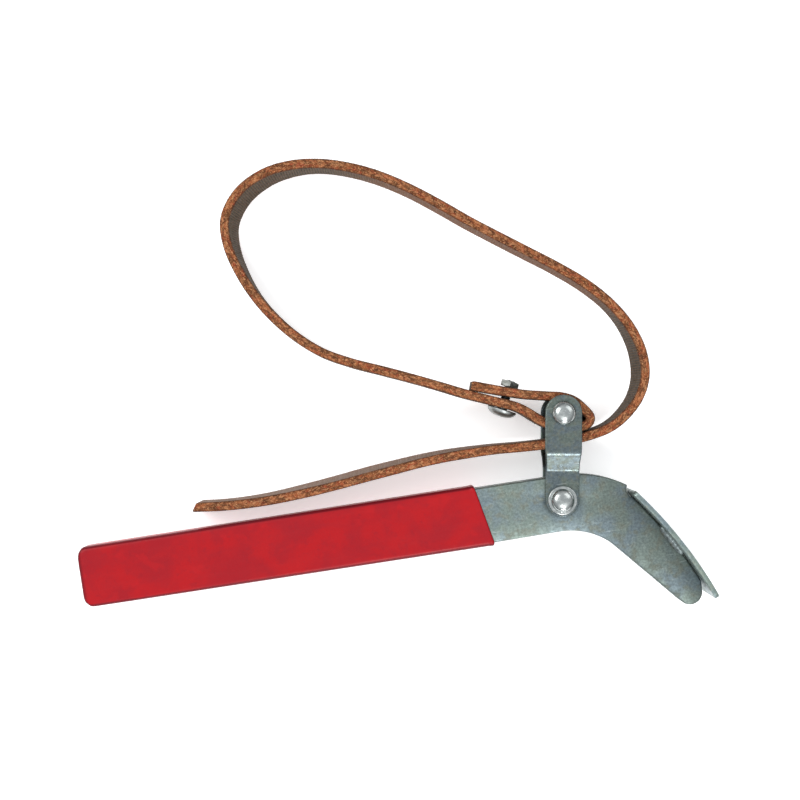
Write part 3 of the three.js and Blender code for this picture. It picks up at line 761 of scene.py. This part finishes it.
def nut_grid():
    """Hexagon with chamfers. Round the nut, the hexagon's radius is half the flats' distance over the
    cosine of the angle from the nearest flat; the chamfer limits it near both ends."""
    angle = np.linspace(0, 2 * np.pi, 144, endpoint=False)
    hexagon = ACROSS / 2 / np.cos((angle + np.pi / 6) % (np.pi / 3) - np.pi / 6)
    levels = np.concatenate([[0, 0], np.linspace(0, 0.2, 8), np.linspace(0.8, 1, 8), [1, 1]])
    heights = NUT_AT + NUT_THICK * levels
    depth = np.minimum(heights - NUT_AT, NUT_AT + NUT_THICK - heights)
    chamfer = ACROSS / 2 * 0.97 + depth / math.tan(math.radians(30))
    outer = np.minimum(hexagon[None], chamfer[:, None])
    outer[[0, -1]] = SCREW_RADIUS + 0.45
    outer[[1, -2]] = ACROSS / 2 * 0.93
    bore_heights = NUT_AT + NUT_THICK * np.array([0.97, 0.85, 0.15, 0.03])
    bore = np.array([SCREW_RADIUS + 0.3, SCREW_RADIUS + 0.1, SCREW_RADIUS + 0.1, SCREW_RADIUS + 0.3])
    radius = np.vstack([outer, np.repeat(bore[:, None], 144, 1)])
    z = np.concatenate([heights, bore_heights])[:, None] + 0 * angle
    return on_screw(np.stack([radius * np.cos(angle), radius * np.sin(angle), z], -1))


screw = surface("strap_screw", screw_grid(), screw_steel)
nut = surface("strap_nut", nut_grid(), nut_steel, "loop")
stand_in(screw, "strap_eye", "strap_screw")
stand_in(nut, "strap_eye", "strap_nut")
print("screw faces", len(screw.data.polygons), "nut faces", len(nut.data.polygons))

# %% [markdown]
# ## Link plates
#
# Two equal plates of 2 mm sheet, blanked and then cranked outwards between the rivets, so that they
# clear the strap. The bends have a radius, which is why they catch the light as two bright lines.

# %% Build the link plates
REACH = float(np.hypot(PIN[0], PIN[1]))
TOP_HALF, LOWER_HALF = 7.3, 6.75
CRANK_FROM, CRANK_TO, BEND = 12.4, 18.6, 1.1
EDGE_ROUND = 0.45
FLAT_ROWS, EDGE_ROWS = 12, 7


def crank(v):
    """How far the plate's middle is from the lever along the link: two straight runs joined by a slope,
    each corner softened over BEND by a parabola. Also returns the slope itself."""
    rise = (plate_high - plate_low) / (CRANK_TO - CRANK_FROM)

    def corner(x):
        u = np.clip((x + BEND) / (2 * BEND), 0, 1)
        return np.where(x > BEND, x, BEND * u * u)

    height = rise * (corner(v - CRANK_FROM) - corner(v - CRANK_TO))
    slope = rise * (np.clip((v - CRANK_FROM + BEND) / (2 * BEND), 0, 1)
                    - np.clip((v - CRANK_TO + BEND) / (2 * BEND), 0, 1))
    return height, slope


def link_grid():
    """A plate as rings that run out over its front from the line between the rivets, and back in behind.

    Columns go round the outline, a stadium whose half width grows from LOWER_HALF to TOP_HALF. Rows share
    the way from that line to the outline. Near the outline the thickness follows a circle.
    """
    ends = np.linspace(0, np.pi, 40)
    run = np.linspace(0, 1, 60)[1:-1]
    width = LOWER_HALF + (TOP_HALF - LOWER_HALF) * smooth((run * REACH - 14) / 7)
    right = np.stack([width, run * REACH], -1)
    top = np.stack([TOP_HALF * np.cos(ends), REACH + TOP_HALF * np.sin(ends)], -1)
    left = (right * [-1, 1])[::-1]
    bottom = np.stack([-LOWER_HALF * np.cos(ends), -LOWER_HALF * np.sin(ends)], -1)
    outline = np.vstack([right, top, left, bottom])
    spine = np.stack([0 * outline[:, 0], np.clip(outline[:, 1], 0, REACH)], -1)
    full = np.linalg.norm(outline - spine, axis=1)
    a = np.linspace(np.pi / 2, 0, EDGE_ROWS)
    depth = np.concatenate([np.zeros(FLAT_ROWS), EDGE_ROUND * (1 - np.cos(a))])[:, None]
    share = np.concatenate([np.linspace(0, 1, FLAT_ROWS), np.ones(EDGE_ROWS)])[:, None]
    out = share * (full - EDGE_ROUND) * (depth == 0) + (depth > 0) * (full - depth)
    half = np.concatenate([np.full(FLAT_ROWS, SHEET / 2), SHEET / 2 - EDGE_ROUND * (1 - np.sin(a))])
    out, half = np.vstack([out, out[::-1]]), np.concatenate([half, -half[::-1]])[:, None]
    flat = spine + (outline - spine) * (out / full)[..., None]
    height, slope = crank(flat[..., 1])
    z = plate_low + SHEET / 2 + height + half * np.sqrt(1 + slope**2)
    return np.concatenate([flat, z[..., None]], -1)


def link_plate(name, side, node):
    """One plate, leaned over to reach the strap pin. The rear one is turned over about that same line."""
    u, v, z = np.moveaxis(link_grid(), -1, 0)
    u, z = u * side, z * side
    lean = math.atan2(PIN[0], PIN[1])
    x, y = u * math.cos(lean) + v * math.sin(lean), v * math.cos(lean) - u * math.sin(lean)
    plate = surface(name, np.stack([x, y, z], -1), link_zinc, "open")
    zipped = bmesh.new()
    zipped.from_mesh(plate.data)
    bmesh.ops.remove_doubles(zipped, verts=zipped.verts, dist=1e-7)
    zipped.to_mesh(plate.data)
    zipped.free()
    for centre in (np.zeros(3), pin_at):
        drill(plate, centre, (0, 0, 1), 2.8, 60)
    plate.data.set_sharp_from_angle(angle=SMOOTH_UNDER)
    stand_in(plate, "link", node)
    return plate


for side, word in ((1, "front"), (-1, "rear")):
    made = link_plate("link_plate_" + word, side, "link_" + word)
    print(made.name, len(made.data.polygons), "faces")

# %% [markdown]
# ## Jaw shoe and its welds
#
# The shoe is a strip bent to a gentle curve and laid across the cheeks of the head, where two short
# weld beads hold it. It is wider than the lever so that it presses on a pipe without cutting in.

# %% Build the jaw shoe and the weld beads
JAW, SEAT_RADIUS = np.array([-112.0, -111.0]), 176.8
SHOE_IN, SHOE_OUT, SHOE_HALF = SEAT_RADIUS + 0.3, SEAT_RADIUS + 2.3, 15.5
SHOE_FROM, SHOE_TO = math.radians(38.25), math.radians(20.95)
WELD_FROM, WELD_TO = math.radians(32.4), math.radians(27.6)


def shoe_grid():
    """A rounded rectangle carried along an arc. Both ends are eased by shrinking the last rings."""
    ring_line = divided(rounded([[SHOE_IN, -SHOE_HALF], [SHOE_OUT, -SHOE_HALF], [SHOE_OUT, SHOE_HALF],
                                 [SHOE_IN, SHOE_HALF]], 0.45, 5), 0.8)
    share = smooth(np.linspace(0, 1, 120)) * 0.4 + np.linspace(0, 1, 120) * 0.6
    angle = (SHOE_FROM + (SHOE_TO - SHOE_FROM) * share)[:, None]
    middle = (SHOE_IN + SHOE_OUT) / 2
    end = np.minimum(share, 1 - share)[:, None] * (SHOE_FROM - SHOE_TO) * middle
    ease = 1 - np.sqrt(np.clip(1 - (end / 0.7 - 1) ** 2 * (end < 0.7), 0, 1))
    r, z = ring_line[:, 0][None], ring_line[:, 1][None]
    r = r + (middle - r) * 0.6 * ease
    corner = 2.2 * (1 - np.sqrt(np.clip(1 - (end / 2.2 - 1) ** 2 * (end < 2.2), 0, 1)))
    z = z * (SHOE_HALF - corner) / SHOE_HALF
    r = r + 0.05 * ripple(angle * 180, z, seed=11, sizes=(8, 30))
    return np.stack([JAW[0] + r * np.cos(angle), JAW[1] + r * np.sin(angle), z + 0 * angle], -1)


def weld_grid(side):
    """A bead in the corner between a cheek and the shoe: half-round rings whose size swells and shrinks
    along the bead, as a welder's steps do, and tapers to both ends."""
    share = np.linspace(0, 1, 90)[:, None]
    round_ = np.linspace(0, 2 * np.pi, 40, endpoint=False)[None]
    angle = WELD_FROM + (WELD_TO - WELD_FROM) * share
    taper = np.sqrt(np.clip(1 - np.abs(2 * share - 1) ** 5, 0.001, 1))
    uneven = ripple(share * 15, np.cos(round_), seed=4, sizes=(2, 5))
    steps = 1 + 0.03 * np.abs(np.sin(np.pi * share * 9)) + 0.03 * uneven
    size = 2.0 * taper * steps
    r = SHOE_IN - 0.25 + size * np.cos(round_) * 0.95
    r = np.minimum(r, SHOE_IN + 0.4)
    z = side * (LEVER_HALF - 0.1 + np.maximum(size * np.sin(round_) * 1.05, -0.5))
    return np.stack([JAW[0] + r * np.cos(angle), JAW[1] + r * np.sin(angle), z + 0 * angle], -1)


shoe = surface("jaw_shoe", shoe_grid(), shoe_zinc)
stand_in(shoe, "lever", "jaw_shoe")
for side, word in ((1, "front"), (-1, "rear")):
    bead = surface("weld_bead_" + word, weld_grid(side), weld_steel)
    stand_in(bead, "lever", "shoe_weld_" + word)
print("shoe faces", len(shoe.data.polygons))

# %% [markdown]
# ## Lever channel
#
# The channel is pressed from one blank: a web along the upper edge and two cheeks. Its exact shape is
# already in the part, so a merged copy of that mesh is used, with its cut edges eased. Building it again
# from formulas would only risk a mismatch with the part's mounts.

# %% Ease a copy of the lever channel
def merged_copy(node, name, material):
    """A copy of a CAD node with its doubled points merged and its flat faces made whole."""
    copy = bpy.data.objects.new(name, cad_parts[node].data.copy())
    bpy.context.scene.collection.objects.link(copy)
    shape = bmesh.new()
    shape.from_mesh(copy.data)
    bmesh.ops.remove_doubles(shape, verts=shape.verts, dist=2e-6)
    bmesh.ops.dissolve_limit(shape, angle_limit=math.radians(0.6), verts=shape.verts, edges=shape.edges)
    shape.to_mesh(copy.data)
    shape.free()
    copy.data.materials.clear()
    copy.data.materials.append(material)
    return copy


channel = merged_copy("lever_channel", "lever_channel", lever_zinc)
ease = channel.modifiers.new("eased edges", "BEVEL")
ease.width, ease.segments, ease.limit_method, ease.angle_limit = 0.22 * MM, 2, "ANGLE", math.radians(40)
baked = bpy.data.meshes.new_from_object(channel.evaluated_get(bpy.context.evaluated_depsgraph_get()))
channel.modifiers.clear()
channel.data = baked
channel.data.shade_smooth()
channel.data.set_sharp_from_angle(angle=math.radians(30))
stand_in(channel, "lever", "lever_channel")
print("channel faces", len(channel.data.polygons))

# %% [markdown]
# ## Dipped handle
#
# The vinyl coats the handle inside and out, so the coated section is a thick U with round lips. It
# ends in a slanted dip line, where the skin is a little thicker, and it is rounded over the far end.

# %% Build the dipped handle
SKIN = 0.7
FAR_X, LINE_TOP_X, LINE_LOW_X = -195.8, -34.0, -29.4  # far end, and the dip line's upper and lower end
TOP_FAR, TOP_NEAR, LOW_FAR, LOW_NEAR = 10.45, 10.3, -12.6, -13.1  # the steel's outline inside the skin
END_CORNER, END_ROUND = 4.0, 1.6
LINE_EASE = 1.4  # how far before the dip line the rows draw closer
END_ROWS, RUN_ROWS, LINE_ROWS = 18, 260, 16
U_POINTS, LIP_POINTS = 70, 9


def u_section():
    """Outer and inner paths of the U with U_POINTS each, as (z, height), and the wall's thickness.

    Heights are measured down from the web: the outer path starts at the lip in front, goes over the web
    and ends at the lip behind; the inner path runs inside it.
    """
    half, wall, depth = LEVER_HALF + SKIN, SHEET + 2 * SKIN, 23.0
    bore = half - wall
    outer = rounded([[half, -depth], [half, 0], [-half, 0], [-half, -depth]], 1.7, 8, closed=False)
    inner = rounded([[bore, -depth], [bore, -wall], [-bore, -wall], [-bore, -depth]], 1.0, 8, closed=False)

    def even(path):
        length = np.concatenate([[0], np.cumsum(np.linalg.norm(np.diff(path, axis=0), axis=1))])
        at = np.linspace(0, length[-1], U_POINTS)
        return np.stack([np.interp(at, length, path[:, 0]), np.interp(at, length, path[:, 1])], -1)

    return even(outer), even(inner), wall


def grip_grid():
    """The U carried along the handle.

    Rows are stations from the far end to the dip line. At each one the wall's half thickness is scaled:
    it grows from nothing as a quarter circle at the far end, and falls to the steel at the dip line
    after a slight bead. Heights run from the lever's upper to its lower outline, which are rounded off
    at the far end.
    """
    outer, inner, wall = u_section()
    depth = -outer[0, 1]
    lip = np.linspace(0, np.pi, LIP_POINTS + 2)[1:-1]
    reach = LINE_TOP_X - FAR_X
    ease = np.linspace(0, np.pi / 2, END_ROWS)
    at_end = END_ROUND * (0.5 - 0.5 * np.cos(ease))
    run = END_ROUND + (reach - LINE_EASE - END_ROUND) * np.linspace(0, 1, RUN_ROWS)[1:]
    at_line = LINE_TOP_X - LINE_EASE + LINE_EASE * np.sin(np.linspace(0, np.pi / 2, LINE_ROWS))[1:]
    x_far = np.concatenate([FAR_X + at_end, FAR_X + run, at_line])
    d = x_far - FAR_X
    left = LINE_TOP_X - x_far
    far = np.sqrt(np.clip(1 - (1 - np.clip(d / END_ROUND, 0, 1)) ** 2, 1e-4, 1))
    skin = np.sqrt(np.clip(1 - (1 - np.clip(left / 0.7, 0, 1)) ** 2, 0, 1))
    bead = 0.16 * np.exp(-(((left - 1.1) / 0.7) ** 2))
    thick = (SHEET / 2 - 0.05 + (SKIN + 0.05 + bead) * skin) * far
    middle, offset = (outer + inner) / 2, (outer - inner) / wall
    lip_offset = np.stack([-np.cos(lip), -np.sin(lip)], -1)
    ring_middle = np.vstack([middle, np.repeat(middle[-1:], LIP_POINTS, 0),
                             middle[::-1], np.repeat(middle[:1], LIP_POINTS, 0)])
    ring_offset = np.vstack([offset, lip_offset, -offset[::-1], lip_offset])
    ring = ring_middle[None] + ring_offset[None] * thick[:, None, None]
    z, height = ring[..., 0], ring[..., 1]
    along = np.clip(d / reach, 0, 1)[:, None]
    top = TOP_FAR + SKIN + (TOP_NEAR - TOP_FAR) * along
    low_edge = LOW_FAR - SKIN + (LOW_NEAR - LOW_FAR) * along
    corner = END_CORNER * (1 - np.sqrt(np.clip(1 - (1 - np.clip(d / END_CORNER, 0, 1)) ** 2, 0, 1)))[:, None]
    lip_low = -depth - wall / 2
    y = (top - corner) - (height / lip_low) * (top - low_edge - 2 * corner)
    slant = (LINE_LOW_X - LINE_TOP_X) * np.clip(-height / depth, 0, 1)
    x = x_far[:, None] + slant * smooth((along - 0.55) / 0.45)
    inside = (smooth(d / 6) * smooth(left / 3))[:, None]  # no unevenness at the two ends
    swell = 0.05 * ripple(x, y, z, seed=21, waves=9, sizes=(9, 34)) * inside
    z = z + swell * np.sign(z) * (np.abs(z) > LEVER_HALF)
    return np.stack([x, y, z], -1)


def grip_ends(rows, columns):
    """Faces that close the U at both ends: a strip between its outer and inner path, and a lip at each
    end of the strip. Outer point k faces the ring's point 2 U_POINTS + LIP_POINTS - 1 - k."""
    k = np.arange(U_POINTS - 1)
    facing = 2 * U_POINTS + LIP_POINTS - 1 - k
    strip = np.stack([k + 1, k, facing, facing - 1], -1).tolist()
    lip_a = list(range(U_POINTS + LIP_POINTS, U_POINTS - 2, -1))
    lip_b = [0, *range(columns - 1, columns - LIP_POINTS - 2, -1)]
    start = [*strip, lip_a, lip_b]
    base = (rows - 1) * columns
    return start + [[base + i for i in face[::-1]] for face in start]


grid = grip_grid()
grip_faces = grid_faces(*grid.shape[:2], "open") + grip_ends(*grid.shape[:2])
grip = build("dipped_handle", grid.reshape(-1, 3), grip_faces, vinyl)
stand_in(grip, "lever", "grip_coating")
print("grip faces", len(grip.data.polygons))

# %% [markdown]
# ## Studio
#
# A pale floor that glows a little, as on a light table, so that shadows stay faint. A large soft key
# light stands at the upper left and a weaker fill at the right. A narrow strip and a low lamp in front
# draw highlights on the domed heads and the grip's edge. The world is darker near the horizon, which
# gives the steel something to reflect. The camera looks straight down, turned about the vertical.

# %% Floor, lights and camera
def floor_finish():
    """Near-white paper with a faint cloud in it and a little glow of its own."""
    f = Finish("floor", Roughness=0.9, Specular_IOR_Level=0.1, Emission_Strength=0.45)
    f.set(Emission_Color=srgb(255, 255, 255))
    cloud = f.noise(f.place(), 3.0, 3.0)
    f.set(Base_Color=f.blend(cloud, srgb(252, 252, 252), srgb(248, 249, 250)))
    return f.material


bpy.ops.mesh.primitive_plane_add(size=6, location=(0, 0, -0.0008))
floor = bpy.context.object
floor.name = "floor"
floor.data.transform(floor.matrix_basis)
floor.matrix_basis.identity()
floor.data.materials.append(floor_finish())


def area_light(name, at, size, power, target=(0, 0, 0)):
    """A square soft light that faces a target."""
    light = bpy.data.lights.new(name, "AREA")
    light.shape, light.size, light.energy = "SQUARE", size, power
    lamp = bpy.data.objects.new(name, light)
    lamp.location = at
    lamp.rotation_euler = (Vector(target) - Vector(at)).to_track_quat("-Z", "Y").to_euler()
    bpy.context.scene.collection.objects.link(lamp)


area_light("key", (-0.75, 0.55, 1.1), 0.8, 9.0)
area_light("fill", (0.9, 0.5, 1.0), 0.8, 3.0)
area_light("strip", (0.06, -0.68, 0.95), 0.2, 4.2)
area_light("low", (0.02, -0.9, 0.36), 0.4, 2.2)
world = bpy.data.worlds.new("studio")
world.use_nodes = True
background = world.node_tree.nodes["Background"]
nodes, links = world.node_tree.nodes, world.node_tree.links
direction, height = nodes.new("ShaderNodeTexCoord"), nodes.new("ShaderNodeSeparateXYZ")
fade = nodes.new("ShaderNodeMapRange")
# From the horizon to nearly overhead, the strength goes from 0.22 to 0.95
for socket, value in zip(fade.inputs[1:5], (0.0, 0.9, 0.22, 0.95)):
    socket.default_value = value
links.new(direction.outputs["Generated"], height.inputs[0])
links.new(height.outputs["Z"], fade.inputs["Value"])
links.new(fade.outputs["Result"], background.inputs["Strength"])
background.inputs["Color"].default_value = (0.95, 0.975, 1.0, 1)
scene = bpy.context.scene
scene.world = world
scene.view_settings.view_transform = "Standard"

CAMERA_OVER = np.array([-58.0, 49.7, 708.0])  # millimetres from the lever rivet
CAMERA_TURN = math.radians(-8.9)
camera = bpy.data.objects.new("camera", bpy.data.cameras.new("camera"))
camera.data.lens, camera.data.sensor_width = 78.75, 36
camera.location = ORIGIN + CAMERA_OVER * MM
camera.rotation_euler = (0, 0, CAMERA_TURN)
scene.collection.objects.link(camera)
scene.camera = camera
